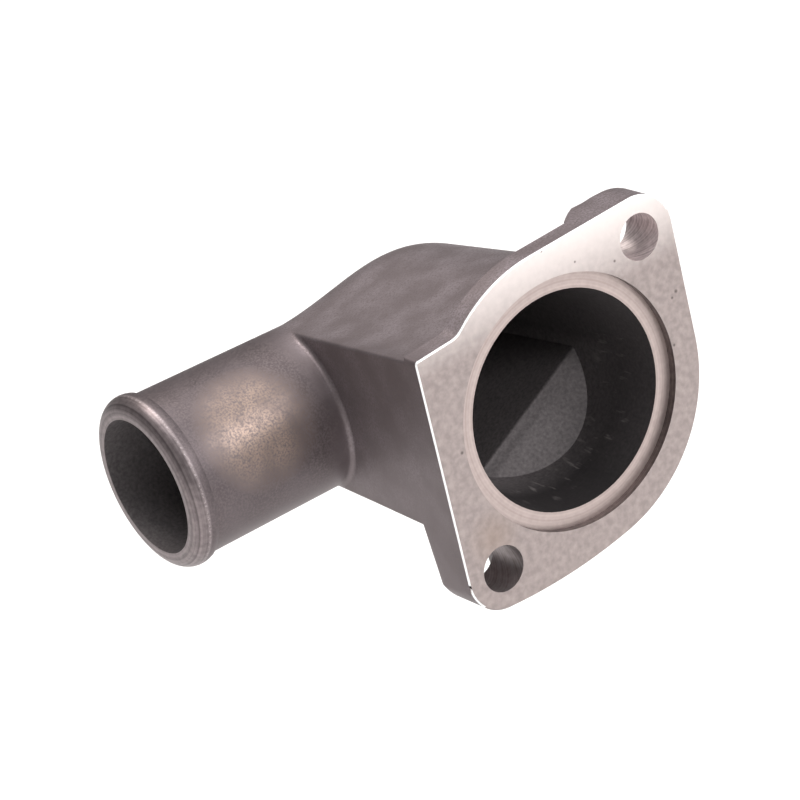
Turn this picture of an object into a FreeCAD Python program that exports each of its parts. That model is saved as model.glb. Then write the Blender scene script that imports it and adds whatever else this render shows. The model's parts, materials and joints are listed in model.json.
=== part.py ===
import FreeCAD, Part
import math
import os
import Sketcher

# Thermostat housing: one aluminium casting that closes an engine's thermostat seat
# and turns the coolant through a right angle into a hose.
#
# Frame: the origin is the centre of the main bore on the machined mating face.
# Y runs into the casting, away from the engine. The hose spigot points to -X.
# Z is up, square to the bore and to the spigot. Everything is in millimetres.

Vector = FreeCAD.Vector

SIZES = {
    # machined mating face
    "flange_radius": 34.45,
    "flange_thickness": 5.0,
    "recess_radius": 27.75,
    "recess_depth": 2.0,
    # bolt ears, on a line through the bore axis
    "bolt_spacing": 74.6,
    "bolt_hole_diameter": 10.2,
    "ear_radius": 9.0,
    "ear_height": 11.9,
    "ear_fall": 12.0,
    "ear_web": 13.8,
    "ear_edge_radius": 2.5,
    "lower_side_bow": 120.0,
    # flat end wall that the spigot leaves from
    "corner_height": 24.2,
    "corner_drop": 17.0,
    "corner_slope": 5.7,
    "corner_blend": 5.0,
    "end_wall_draft": 3.3,
    "end_wall_edge_radius": 0.8,
    # drafted body round the main bore, closed by a dome
    "body_radius": 30.0,
    "dome_radius": 24.6,
    "dome_depth": 49.5,
    "neck_reach": 30.0,
    # hose spigot
    "spigot_depth": 54.9,
    "spigot_radius": 18.1,
    "spigot_end_radius": 18.7,
    "spigot_reach": 73.25,
    "spigot_root_radius": 1.2,
    "bead_height": 1.1,
    "bead_width": 5.0,
    "lip_radius": 3.4,
    # inside
    "bore_radius": 24.1,
    "core_radius": 21.0,
    "outlet_radius": 15.45,
    # inner shoulder, a ramp and a flat beside the passage
    "shoulder_turn": 60.0,
    "shoulder_flat": 13.6,
    "shoulder_depth": 28.6,
    "shoulder_ramp": 41.7,
    "shoulder_edge_radius": 1.0,
    "wall": 4.4,
}

doc = FreeCAD.newDocument("ThermostatHousing")


def fill_sheet():
    """Driving dimensions, one row each."""
    sheet = doc.addObject("Spreadsheet::Sheet", "Sizes")
    for row, (name, value) in enumerate(SIZES.items(), start=1):
        sheet.set(f"A{row}", name)
        sheet.set(f"B{row}", str(value))
        sheet.setAlias(f"B{row}", name)
    doc.recompute()
    return sheet


def size(name):
    return SIZES[name]


def cell(name):
    return f"Sizes.{name}"


def new_body(name):
    body = doc.addObject("PartDesign::Body", name)
    body.Label = name
    return body


def origin_plane(body, role):
    return next(part for part in body.Origin.OriginFeatures if part.Role == role)


def new_sketch(body, role, name):
    sketch = body.newObject("Sketcher::SketchObject", name)
    sketch.AttachmentSupport = (origin_plane(body, role), [""])
    sketch.MapMode = "FlatFace"
    return sketch


def line(sketch, start, end):
    return sketch.addGeometry(Part.LineSegment(Vector(*start, 0), Vector(*end, 0)), False)


def arc(sketch, centre, radius, first, last):
    """Arc counter-clockwise from one angle to another, in degrees."""
    circle = Part.Circle(Vector(*centre, 0), Vector(0, 0, 1), radius)
    return sketch.addGeometry(Part.ArcOfCircle(circle, math.radians(first), math.radians(last)), False)


def join(sketch, kind, first, first_end, second, second_end):
    sketch.addConstraint(Sketcher.Constraint(kind, first, first_end, second, second_end))


def measure(sketch, name, expression, *what):
    """A dimension, named and driven by the sheet."""
    index = sketch.addConstraint(Sketcher.Constraint(*what))
    sketch.renameConstraint(index, name)
    sketch.setExpression(f"Constraints.{name}", expression)


TOUCH = 0.02
START, END, CENTRE = 1, 2, 3
ORIGIN = (-1, 1)
X_AXIS = -1
Y_AXIS = -2


def ear_centre():
    """Bolt hole of the upper ear; the ear's outer side runs straight down from it."""
    across = size("flange_radius") - size("ear_radius")
    return across, math.sqrt((size("bolt_spacing") / 2) ** 2 - across ** 2)


def side_bow():
    """Centre of the shallow arc that touches the ear's end and the round rim from outside."""
    ear_x, ear_z = ear_centre()
    spacing = math.hypot(ear_x, ear_z)
    to_rim = size("lower_side_bow") - size("flange_radius")
    to_ear = size("lower_side_bow") - size("ear_radius")
    along = (to_rim ** 2 - to_ear ** 2 + spacing ** 2) / (2 * spacing)
    across = math.sqrt(to_rim ** 2 - along ** 2)
    return (along * ear_x + across * ear_z) / spacing, (along * ear_z - across * ear_x) / spacing


def heading(start, end):
    return math.degrees(math.atan2(end[1] - start[1], end[0] - start[0]))


def flange_outline(body):
    """The two-eared flange: the end wall and the lower ear's side are one straight line."""
    sketch = new_sketch(body, "XZ_Plane", "FlangeOutline")
    big = size("flange_radius")
    small = size("ear_radius")
    ear_x, ear_z = ear_centre()
    half_spacing = size("bolt_spacing") / 2
    turn = 2 * math.degrees(math.acos(ear_x / half_spacing))
    aside = (math.cos(math.radians(turn)), math.sin(math.radians(turn)))
    bow_x, bow_z = side_bow()
    bow_start = heading((bow_x, bow_z), (ear_x, ear_z))
    bow_end = heading((bow_x, bow_z), (0, 0))

    corner = (-big, size("corner_height"))
    slope = math.radians(size("corner_slope"))
    blend = size("corner_blend")
    side_offset = big * math.sin(slope) + corner[1] * math.cos(slope)
    along = -math.sqrt((big + blend) ** 2 - (side_offset + blend) ** 2)
    blend_x = along * math.cos(slope) - (side_offset + blend) * math.sin(slope)
    blend_z = along * math.sin(slope) + (side_offset + blend) * math.cos(slope)
    blend_turn = math.degrees(math.atan2(blend_z, blend_x))
    side_end = (blend_x + blend * math.sin(slope), blend_z - blend * math.cos(slope))

    right_side = line(sketch, (big, 0), (big, ear_z))
    upper_ear = arc(sketch, (ear_x, ear_z), small, 0, turn)
    upper_side = line(sketch,
                      (ear_x + small * aside[0], ear_z + small * aside[1]),
                      (big * aside[0], big * aside[1]))
    upper_rim = arc(sketch, (0, 0), big, turn, blend_turn)
    corner_blend = arc(sketch, (blend_x, blend_z), blend, size("corner_slope") - 90, blend_turn - 180)
    corner_side = line(sketch, corner, side_end)
    end_wall = line(sketch, corner, (-big, -ear_z))
    lower_ear = arc(sketch, (-ear_x, -ear_z), small, 180, 180 + bow_start)
    lower_side = arc(sketch, (-bow_x, -bow_z), size("lower_side_bow"), 180 + bow_start, 180 + bow_end)
    lower_rim = arc(sketch, (0, 0), big, 180 + bow_end, 360)

    join(sketch, "Tangent", lower_rim, END, right_side, START)
    join(sketch, "Tangent", right_side, END, upper_ear, START)
    join(sketch, "Tangent", upper_ear, END, upper_side, START)
    join(sketch, "Tangent", upper_side, END, upper_rim, START)
    join(sketch, "Tangent", upper_rim, END, corner_blend, END)
    join(sketch, "Tangent", corner_blend, START, corner_side, END)
    join(sketch, "Coincident", corner_side, START, end_wall, START)
    join(sketch, "Tangent", end_wall, END, lower_ear, START)
    join(sketch, "Tangent", lower_ear, END, lower_side, START)
    join(sketch, "Tangent", lower_side, END, lower_rim, START)
    join(sketch, "Coincident", upper_rim, CENTRE, *ORIGIN)
    join(sketch, "Coincident", lower_rim, CENTRE, *ORIGIN)
    sketch.addConstraint(Sketcher.Constraint("Vertical", right_side))
    sketch.addConstraint(Sketcher.Constraint("Vertical", end_wall))
    sketch.addConstraint(Sketcher.Constraint("Equal", upper_rim, lower_rim))
    sketch.addConstraint(Sketcher.Constraint("Equal", upper_ear, lower_ear))
    sketch.addConstraint(Sketcher.Constraint("Symmetric", upper_ear, CENTRE, lower_ear, CENTRE, *ORIGIN))
    measure(sketch, "rim", cell("flange_radius"), "Radius", upper_rim, big)
    measure(sketch, "ear", cell("ear_radius"), "Radius", upper_ear, small)
    measure(sketch, "bolt_circle", cell("bolt_spacing") + " / 2",
            "Distance", *ORIGIN, upper_ear, CENTRE, half_spacing)
    measure(sketch, "corner_up", cell("corner_height"),
            "DistanceY", *ORIGIN, corner_side, START, corner[1])
    measure(sketch, "corner_rise", cell("corner_slope"), "Angle", X_AXIS, corner_side, slope)
    measure(sketch, "corner_round", cell("corner_blend"), "Radius", corner_blend, blend)
    measure(sketch, "side_bow", cell("lower_side_bow"), "Radius", lower_side, size("lower_side_bow"))
    return sketch


def pad(body, name, sketch, length, reverse=False):
    feature = body.newObject("PartDesign::Pad", name)
    feature.Profile = sketch
    feature.setExpression("Length", length)
    feature.Reversed = reverse
    sketch.Visibility = False
    return feature


def ear_outline(body, name, side):
    """One bolt ear: its round end and the two flange sides that run away from it.

    side is 1 for the upper ear and -1 for the lower one, half a turn round the bore.
    The inner corner lies inside the body. The far side is straight on the upper ear and
    bowed on the lower one, as the flange is.
    """
    sketch = new_sketch(body, "XZ_Plane", name)
    big = size("flange_radius")
    small = size("ear_radius")
    web = size("ear_web")
    ear_x, ear_z = ear_centre()
    half_spacing = size("bolt_spacing") / 2
    first = 0 if side > 0 else 180
    inner = (side * (ear_x - web), side * (ear_z - web))
    near_start = (side * big, inner[1])
    near_end = (side * big, side * ear_z)
    near_side = line(sketch, near_start, near_end)
    if side > 0:
        last = 2 * math.degrees(math.acos(ear_x / half_spacing))
        aside = (math.cos(math.radians(last)), math.sin(math.radians(last)))
        far_start = (ear_x + small * aside[0], ear_z + small * aside[1])
        far_end = (inner[0], (big - inner[0] * aside[0]) / aside[1])
        far_side = line(sketch, far_start, far_end)
        far_first, far_last = START, END
    else:
        bow = size("lower_side_bow")
        bow_x, bow_z = side_bow()
        last = heading((bow_x, bow_z), (ear_x, ear_z))
        reach = math.degrees(math.acos((ear_x - web - bow_x) / bow))
        far_end = (inner[0], -bow_z - bow * math.sin(math.radians(reach)))
        far_side = arc(sketch, (-bow_x, -bow_z), bow, 180 + last, 180 + reach)
        measure(sketch, "side_bow", cell("lower_side_bow"), "Radius", far_side, bow)
        far_first, far_last = START, END
    tip = arc(sketch, (side * ear_x, side * ear_z), small, first, first + last)
    inner_far = line(sketch, far_end, inner)
    inner_near = line(sketch, inner, near_start)
    rim = sketch.addGeometry(Part.Circle(Vector(0, 0, 0), Vector(0, 0, 1), big), True)
    join(sketch, "Tangent", near_side, END, tip, START)
    join(sketch, "Tangent", tip, END, far_side, far_first)
    join(sketch, "Coincident", far_side, far_last, inner_far, START)
    join(sketch, "Coincident", inner_far, END, inner_near, START)
    join(sketch, "Coincident", inner_near, END, near_side, START)
    join(sketch, "Coincident", rim, CENTRE, *ORIGIN)
    sketch.addConstraint(Sketcher.Constraint("Vertical", near_side))
    sketch.addConstraint(Sketcher.Constraint("Vertical", inner_far))
    sketch.addConstraint(Sketcher.Constraint("Horizontal", inner_near))
    sketch.addConstraint(Sketcher.Constraint("Tangent", far_side, rim))
    measure(sketch, "rim", cell("flange_radius"), "Radius", rim, big)
    measure(sketch, "ear", cell("ear_radius"), "Radius", tip, small)
    measure(sketch, "bolt_circle", cell("bolt_spacing") + " / 2",
            "Distance", *ORIGIN, tip, CENTRE, half_spacing)
    out = (*ORIGIN, tip, CENTRE) if side > 0 else (tip, CENTRE, *ORIGIN)
    across = (inner_far, END, tip, CENTRE) if side > 0 else (tip, CENTRE, inner_far, END)
    measure(sketch, "ear_across", cell("flange_radius") + " - " + cell("ear_radius"),
            "DistanceX", *out, ear_x)
    measure(sketch, "web_across", cell("ear_web"), "DistanceX", *across, web)
    measure(sketch, "web_up", cell("ear_web"), "Distance", near_side, web)
    return sketch


def body_profile(body, name, front_radius, end_radius):
    """Half section of a drafted wall closed by a dome, to be turned about the bore axis."""
    sketch = new_sketch(body, "XY_Plane", name)
    wide = size(front_radius)
    narrow = size(end_radius)
    depth = size("dome_depth")
    reach = math.hypot(wide, depth)
    lean = math.atan2(wide, depth) - math.asin(narrow / reach)
    touch = (narrow * math.cos(lean), depth + narrow * math.sin(lean))

    axis = line(sketch, (0, depth + narrow), (0, 0))
    face = line(sketch, (0, 0), (wide, 0))
    wall = line(sketch, (wide, 0), touch)
    dome = arc(sketch, (0, depth), narrow, math.degrees(lean), 90)
    join(sketch, "Coincident", axis, END, *ORIGIN)
    join(sketch, "Coincident", axis, END, face, START)
    join(sketch, "Coincident", face, END, wall, START)
    join(sketch, "Tangent", wall, END, dome, START)
    join(sketch, "Coincident", dome, END, axis, START)
    sketch.addConstraint(Sketcher.Constraint("PointOnObject", axis, START, Y_AXIS))
    sketch.addConstraint(Sketcher.Constraint("PointOnObject", dome, CENTRE, Y_AXIS))
    sketch.addConstraint(Sketcher.Constraint("Horizontal", face))
    measure(sketch, "wide", cell(front_radius), "Distance", face, wide)
    measure(sketch, "narrow", cell(end_radius), "Radius", dome, narrow)
    measure(sketch, "deep", cell("dome_depth"), "DistanceY", *ORIGIN, dome, CENTRE, depth)
    return sketch


def turn_about_bore(body, name, sketch):
    feature = body.newObject("PartDesign::Revolution", name)
    feature.Profile = sketch
    feature.ReferenceAxis = (sketch, ["V_Axis"])
    feature.Angle = 360.0
    sketch.Visibility = False
    return feature


def swell(share):
    """Smooth start and end between the spigot's section and the dome's, from 0 to 1."""
    return (1 - math.cos(math.pi * share)) / 2


def between(first, last, share):
    """A size part of the way from one cell to another, as a value and as an expression."""
    part = round(swell(share), 4)
    value = size(first) + (size(last) - size(first)) * part
    return value, f"{cell(first)} + ({cell(last)} - {cell(first)}) * {part}"


def neck_section(body, name, station, station_rule, share):
    """The body cut square to the spigot: a flat front, drafted sides and a round back."""
    sketch = new_sketch(body, "YZ_Plane", name)
    sketch.AttachmentOffset = FreeCAD.Placement(Vector(0, 0, station), FreeCAD.Rotation())
    sketch.setExpression("AttachmentOffset.Base.z", station_rule)
    radius, radius_rule = between("spigot_radius", "dome_radius", share)
    depth, depth_rule = between("spigot_depth", "dome_depth", share)
    up, up_rule = between("corner_height", "body_radius", share)
    down, down_rule = between("corner_drop", "body_radius", share)

    def touch(height):
        """Angle from the Y axis to where a side from the front meets the round back."""
        return math.pi / 2 - math.asin(radius / math.hypot(depth, height)) + math.atan2(height, depth)

    upper = touch(up)
    lower = touch(down)
    upper_touch = (depth + radius * math.cos(upper), radius * math.sin(upper))
    lower_touch = (depth + radius * math.cos(lower), -radius * math.sin(lower))
    face = line(sketch, (0, -down), (0, up))
    upper_side = line(sketch, (0, up), upper_touch)
    back = arc(sketch, (depth, 0), radius, -math.degrees(lower), math.degrees(upper))
    lower_side = line(sketch, lower_touch, (0, -down))
    join(sketch, "Coincident", face, END, upper_side, START)
    join(sketch, "Tangent", upper_side, END, back, END)
    join(sketch, "Tangent", back, START, lower_side, START)
    join(sketch, "Coincident", lower_side, END, face, START)
    sketch.addConstraint(Sketcher.Constraint("PointOnObject", face, START, Y_AXIS))
    sketch.addConstraint(Sketcher.Constraint("PointOnObject", face, END, Y_AXIS))
    sketch.addConstraint(Sketcher.Constraint("PointOnObject", back, CENTRE, X_AXIS))
    measure(sketch, "up", up_rule, "DistanceY", *ORIGIN, face, END, up)
    measure(sketch, "down", down_rule, "DistanceY", face, START, *ORIGIN, down)
    measure(sketch, "round", radius_rule, "Radius", back, radius)
    measure(sketch, "deep", depth_rule, "DistanceX", *ORIGIN, back, CENTRE, depth)
    return sketch


def polygon(sketch, points):
    """Closed run of straight lines; corner number i is the START of line number i."""
    edges = [line(sketch, start, end) for start, end in zip(points, points[1:] + points[:1])]
    for edge, following in zip(edges, edges[1:] + edges[:1]):
        join(sketch, "Coincident", edge, END, following, START)
    return edges


def ear_back_cut(body):
    """What lies behind the backs of both ears, which fall away from the bore like a roof."""
    sketch = new_sketch(body, "XY_Plane", "EarBackCut")
    ear_x, ear_z = ear_centre()
    turn = math.degrees(math.atan2(ear_z, ear_x))
    sketch.AttachmentOffset = FreeCAD.Placement(
        Vector(0, 0, 0), FreeCAD.Rotation(Vector(0, -1, 0), turn))
    sketch.setExpression("AttachmentOffset.Rotation.Angle",
                         f"acos(({cell('flange_radius')} - {cell('ear_radius')}) * 2 / {cell('bolt_spacing')})")
    fall = math.radians(size("ear_fall"))
    ridge = size("ear_height") + size("bolt_spacing") / 2 * math.tan(fall)
    wide = size("bolt_spacing")
    eaves = ridge - wide * math.tan(fall)
    above = ridge + size("ear_height")
    edges = polygon(sketch, [(-wide, eaves), (0, ridge), (wide, eaves), (wide, above), (-wide, above)])
    left, right, right_end, top, left_end = edges
    for edge in (left_end, right_end):
        sketch.addConstraint(Sketcher.Constraint("Vertical", edge))
    sketch.addConstraint(Sketcher.Constraint("Symmetric", left, START, right, END, Y_AXIS))
    sketch.addConstraint(Sketcher.Constraint("PointOnObject", right, START, Y_AXIS))
    sketch.addConstraint(Sketcher.Constraint("Horizontal", top))
    measure(sketch, "ridge", f"{cell('ear_height')} + {cell('bolt_spacing')} / 2 * tan({cell('ear_fall')} * 1 deg)",
            "DistanceY", *ORIGIN, right, START, ridge)
    measure(sketch, "fall", cell("ear_fall"), "Angle", right, END, X_AXIS, END, fall)
    measure(sketch, "wide", cell("bolt_spacing"), "DistanceX", *ORIGIN, right, END, wide)
    measure(sketch, "top", cell("ear_height"), "DistanceY", right, START, top, START, size("ear_height"))
    return sketch


def edge_names(feature, wanted):
    """Names of the edges that pass the test, as a dress-up feature takes them."""
    return [f"Edge{number}" for number, edge in enumerate(feature.Shape.Edges, start=1) if wanted(edge)]


def dress(body, kind, name, base, edges, measure_name, rule):
    """A fillet or a chamfer on edges of the feature before it."""
    feature = body.newObject(f"PartDesign::{kind}", name)
    feature.Base = (base, edges)
    feature.setExpression(measure_name, rule)
    return feature


def near(first, second):
    return abs(first - second) < TOUCH


def on_ear_back(point):
    """Whether a point lies on the sloping back of either ear."""
    ear_x, ear_z = ear_centre()
    half_spacing = size("bolt_spacing") / 2
    out = abs(point.x * ear_x + point.z * ear_z) / half_spacing
    return near(point.y, size("ear_height") + (half_spacing - out) * math.tan(math.radians(size("ear_fall"))))


def is_web_end(edge):
    """The inner ends of the ears' backs that run down to the flange beside the body."""
    ear_x, ear_z = ear_centre()
    middle = edge.CenterOfMass
    on_back = all(on_ear_back(vertex.Point) for vertex in edge.Vertexes)
    return on_back and (near(abs(middle.x), ear_x - size("ear_web")) or near(middle.z, ear_z - size("ear_web")))


def is_ear_edge(edge):
    """The edges round the back of each ear, as far as they lie outside the body."""
    middle = edge.CenterOfMass
    outside = math.hypot(middle.x, middle.z) > size("body_radius")
    beyond_web = abs(middle.z) > ear_centre()[1] - size("ear_web") + TOUCH
    return outside and beyond_web and all(on_ear_back(vertex.Point) for vertex in edge.Vertexes)


def on_end_wall(point):
    """Whether a point lies on the drafted end wall."""
    return near(point.x, point.y * math.tan(math.radians(size("end_wall_draft"))) - size("flange_radius"))


def is_end_wall_side(edge):
    """The upper and lower edges of the end wall, from the flange to the spigot."""
    middle = edge.CenterOfMass
    on_wall = all(on_end_wall(vertex.Point) for vertex in edge.Vertexes)
    beside = abs(middle.z) > size("corner_drop")
    beyond_ear = middle.z > 0 or middle.y > size("ear_height") + size("ear_web")
    return on_wall and beside and beyond_ear


def is_spigot_root(edge):
    """The long curve where the spigot leaves the end wall."""
    middle = edge.CenterOfMass
    on_wall = all(on_end_wall(vertex.Point) for vertex in edge.Vertexes)
    between_sides = abs(middle.z) < size("wall") and middle.y > size("spigot_radius")
    return on_wall and between_sides and edge.Length > 2 * size("spigot_radius")


def end_wall_cut(body):
    """What the draft of the end wall takes off the flange, the ear and the body."""
    sketch = new_sketch(body, "XY_Plane", "EndWallCut")
    big = size("flange_radius")
    deep = size("dome_depth") + size("dome_radius") * 2
    lean = math.radians(size("end_wall_draft"))
    edges = polygon(sketch, [(-big, 0), (-big + deep * math.tan(lean), deep), (-big * 2, deep), (-big * 2, 0)])
    wall, far, outside, front = edges
    for edge in (far, front):
        sketch.addConstraint(Sketcher.Constraint("Horizontal", edge))
    sketch.addConstraint(Sketcher.Constraint("Vertical", outside))
    sketch.addConstraint(Sketcher.Constraint("PointOnObject", wall, START, X_AXIS))
    measure(sketch, "wall_at", cell("flange_radius"), "DistanceX", wall, START, *ORIGIN, big)
    measure(sketch, "outside_at", cell("flange_radius") + " * 2", "DistanceX", outside, START, *ORIGIN, big * 2)
    measure(sketch, "deep", f"{cell('dome_depth')} + {cell('dome_radius')} * 2", "Distance", outside, deep)
    measure(sketch, "draft", cell("end_wall_draft"), "Angle", wall, START, Y_AXIS, START, -lean)
    return sketch


def spigot_profile(body):
    """Half section of the hose spigot, to be turned about its own axis: taper, bead and lip."""
    sketch = new_sketch(body, "XY_Plane", "SpigotSection")
    axis_depth = size("spigot_depth")
    root_x = -size("neck_reach") / 2
    mouth_x = -size("spigot_reach")
    step_x = mouth_x + size("bead_width")
    root = size("spigot_radius")
    end = size("spigot_end_radius")
    crest = end + size("bead_height")
    lip = size("lip_radius")
    crown = size("bead_width")
    lean = math.degrees(math.acos((crown - lip) / crown))
    shoulder = crest - crown + crown * math.sin(math.radians(lean))

    axis = line(sketch, (mouth_x, axis_depth), (root_x, axis_depth))
    start = line(sketch, (root_x, axis_depth), (root_x, axis_depth + root))
    taper = line(sketch, (root_x, axis_depth + root), (step_x, axis_depth + end))
    step = line(sketch, (step_x, axis_depth + end), (step_x, axis_depth + shoulder))
    bead = arc(sketch, (mouth_x + lip, axis_depth + crest - crown), crown, lean, 90)
    rounding = arc(sketch, (mouth_x + lip, axis_depth + crest - lip), lip, 90, 180)
    face = line(sketch, (mouth_x, axis_depth + crest - lip), (mouth_x, axis_depth))
    join(sketch, "Coincident", axis, END, start, START)
    join(sketch, "Coincident", start, END, taper, START)
    join(sketch, "Coincident", taper, END, step, START)
    join(sketch, "Coincident", step, END, bead, START)
    join(sketch, "Tangent", bead, END, rounding, START)
    join(sketch, "Tangent", rounding, END, face, START)
    join(sketch, "Coincident", face, END, axis, START)
    sketch.addConstraint(Sketcher.Constraint("Horizontal", axis))
    for edge in (start, step, face):
        sketch.addConstraint(Sketcher.Constraint("Vertical", edge))
    sketch.addConstraint(Sketcher.Constraint("Vertical", bead, CENTRE, rounding, CENTRE))
    measure(sketch, "axis_at", cell("spigot_depth"), "DistanceY", *ORIGIN, axis, START, axis_depth)
    measure(sketch, "mouth_at", cell("spigot_reach"), "DistanceX", axis, START, *ORIGIN, -mouth_x)
    measure(sketch, "root_at", cell("neck_reach") + " / 2", "DistanceX", axis, END, *ORIGIN, -root_x)
    measure(sketch, "root", cell("spigot_radius"), "Distance", start, root)
    measure(sketch, "end", cell("spigot_end_radius"), "DistanceY", axis, START, taper, END, end)
    measure(sketch, "crest", f"{cell('spigot_end_radius')} + {cell('bead_height')}",
            "DistanceY", axis, START, bead, END, crest)
    measure(sketch, "bead_run", cell("bead_width"), "DistanceX", axis, START, step, START, crown)
    measure(sketch, "crown", cell("bead_width"), "Radius", bead, crown)
    measure(sketch, "lip", cell("lip_radius"), "Radius", rounding, lip)
    return sketch


def shoulder_profile(body, name, gap):
    """The space beyond the flat and the ramp that narrow the passage, moved outwards by gap.

    The sketch stands on the bore axis, square to the flat, and its X runs away from the axis.
    """
    sketch = new_sketch(body, "XY_Plane", name)
    turn = size("shoulder_turn")
    sketch.AttachmentOffset = FreeCAD.Placement(
        Vector(0, 0, 0), FreeCAD.Rotation(Vector(0, 1, 0), turn))
    sketch.setExpression("AttachmentOffset.Rotation.Angle", cell("shoulder_turn"))
    ramp = math.radians(size("shoulder_ramp"))
    offset = size("wall") if gap else 0
    flat = size("shoulder_flat") + offset
    foot = size("shoulder_depth") + offset * math.tan((math.pi / 2 - ramp) / 2)
    wide = size("flange_radius") * 2
    deep = size("dome_depth") + size("dome_radius") * 2
    fall = foot - (wide - flat) * math.tan(ramp)
    flat_rule = cell("shoulder_flat")
    foot_rule = cell("shoulder_depth")
    if gap:
        flat_rule += f" + {cell('wall')}"
        foot_rule += f" + {cell('wall')} * tan((90 deg - {cell('shoulder_ramp')} * 1 deg) / 2)"

    edges = polygon(sketch, [(flat, foot), (wide, fall), (wide, deep), (flat, deep)])
    slope, outside, far, wall = edges
    sketch.addConstraint(Sketcher.Constraint("Vertical", outside))
    sketch.addConstraint(Sketcher.Constraint("Vertical", wall))
    sketch.addConstraint(Sketcher.Constraint("Horizontal", far))
    measure(sketch, "flat", flat_rule, "DistanceX", *ORIGIN, slope, START, flat)
    measure(sketch, "foot", foot_rule, "DistanceY", *ORIGIN, slope, START, foot)
    measure(sketch, "ramp", cell("shoulder_ramp"), "Angle", slope, START, X_AXIS, START, ramp)
    measure(sketch, "wide", cell("flange_radius") + " * 2", "DistanceX", *ORIGIN, outside, START, wide)
    measure(sketch, "deep", f"{cell('dome_depth')} + {cell('dome_radius')} * 2",
            "DistanceY", *ORIGIN, far, START, deep)
    return sketch


def pocket(body, name, sketch, length, midplane=False, reverse=False):
    feature = body.newObject("PartDesign::Pocket", name)
    feature.Profile = sketch
    feature.Midplane = midplane
    feature.Reversed = reverse
    feature.setExpression("Length", length)
    sketch.Visibility = False
    return feature


def circle_sketch(body, role, name, radius_rule, radius, centres):
    """Equal circles; each centre is a pair of values with the two rules that drive it."""
    sketch = new_sketch(body, role, name)
    for number, (x, y, x_rule, y_rule) in enumerate(centres):
        ring = sketch.addGeometry(Part.Circle(Vector(x, y, 0), Vector(0, 0, 1), radius), False)
        measure(sketch, f"radius{number}", radius_rule, "Radius", ring, radius)
        for kind, value, rule in (("DistanceX", x, x_rule), ("DistanceY", y, y_rule)):
            ends = (*ORIGIN, ring, CENTRE) if value > 0 else (ring, CENTRE, *ORIGIN)
            if rule:
                measure(sketch, f"{kind}{number}", rule, kind, *ends, abs(value))
            else:
                axis = Y_AXIS if kind == "DistanceX" else X_AXIS
                sketch.addConstraint(Sketcher.Constraint("PointOnObject", ring, CENTRE, axis))
    return sketch


def is_shoulder_edge(edge):
    """Where the ramp and the flat of the inner shoulder meet."""
    points = [vertex.Point for vertex in edge.Vertexes]
    return len(points) == 2 and all(near(point.y, size("shoulder_depth")) for point in points) \
        and near(edge.Length, (points[1] - points[0]).Length)


def check(objects):
    """Stop if anything in the document failed to build."""
    for item in objects:
        if {"Invalid", "Error"} & set(item.State):
            raise RuntimeError(f"{item.Name} did not build: {item.State}")


fill_sheet()
casting = new_body("housing")
through = cell("flange_radius") + " * 4"
ear_stock = f"{cell('ear_height')} + {cell('ear_web')}"

pad(casting, "Flange", flange_outline(casting), cell("flange_thickness"), reverse=True)
pad(casting, "UpperEar", ear_outline(casting, "UpperEarOutline", 1), ear_stock, reverse=True)
pad(casting, "LowerEar", ear_outline(casting, "LowerEarOutline", -1), ear_stock, reverse=True)
pocket(casting, "EarBacks", ear_back_cut(casting), through, midplane=True)
wall_cut = end_wall_cut(casting)
ear_side = pocket(casting, "EarSide", wall_cut, through, midplane=True)
doc.recompute()
slopes = dress(casting, "Chamfer", "EarSlopes", ear_side, edge_names(ear_side, is_web_end),
               "Size", f"{cell('ear_height')} - {cell('flange_thickness')}")
doc.recompute()
dress(casting, "Fillet", "EarRounds", slopes, edge_names(slopes, is_ear_edge),
      "Radius", cell("ear_edge_radius"))

turn_about_bore(casting, "BoreBody", body_profile(casting, "BoreBodySection", "body_radius", "dome_radius"))
stations = [
    ("NeckEnd", -size("flange_radius") - size("wall"), f"-{cell('flange_radius')} - {cell('wall')}", 0),
    ("NeckStart", -size("neck_reach"), "-" + cell("neck_reach"), 0),
    ("NeckMiddle", -size("neck_reach") / 2, "-" + cell("neck_reach") + " / 2", 0.5),
    ("NeckQuarter", -size("neck_reach") / 4, "-" + cell("neck_reach") + " / 4", 0.75),
    ("NeckBore", 0, "0", 1),
]
sections = [neck_section(casting, *station) for station in stations]
neck = casting.newObject("PartDesign::AdditiveLoft", "Neck")
neck.Profile = sections[0]
neck.Sections = sections[1:]
pocket(casting, "EndWall", wall_cut, through, midplane=True)
spigot_section = spigot_profile(casting)
spigot = casting.newObject("PartDesign::Revolution", "Spigot")
spigot.Profile = spigot_section
spigot.ReferenceAxis = (spigot_section, ["Edge1"])
spigot.Angle = 360.0
doc.recompute()
wall_sides = dress(casting, "Fillet", "EndWallRounds", spigot, edge_names(spigot, is_end_wall_side),
                   "Radius", cell("end_wall_edge_radius"))
doc.recompute()
dress(casting, "Fillet", "SpigotRoot", wall_sides, edge_names(wall_sides, is_spigot_root),
      "Radius", cell("spigot_root_radius"))
pocket(casting, "ShoulderRelief", shoulder_profile(casting, "ReliefSection", True), through, midplane=True)

core = new_body("core")
turn_about_bore(core, "BoreCore", body_profile(core, "BoreCoreSection", "bore_radius", "core_radius"))
core_shoulder = pocket(core, "CoreShoulder", shoulder_profile(core, "CoreShoulderSection", False),
                       through, midplane=True)
doc.recompute()
dress(core, "Fillet", "ShoulderEdge", core_shoulder, edge_names(core_shoulder, is_shoulder_edge),
      "Radius", cell("shoulder_edge_radius"))
outlet_section = circle_sketch(core, "YZ_Plane", "OutletSection",
                               cell("outlet_radius"), size("outlet_radius"),
                               [(size("spigot_depth"), 0, cell("spigot_depth"), None)])
pad(core, "OutletCore", outlet_section, f"{cell('spigot_reach')} + {cell('wall')}", reverse=True)

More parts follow.
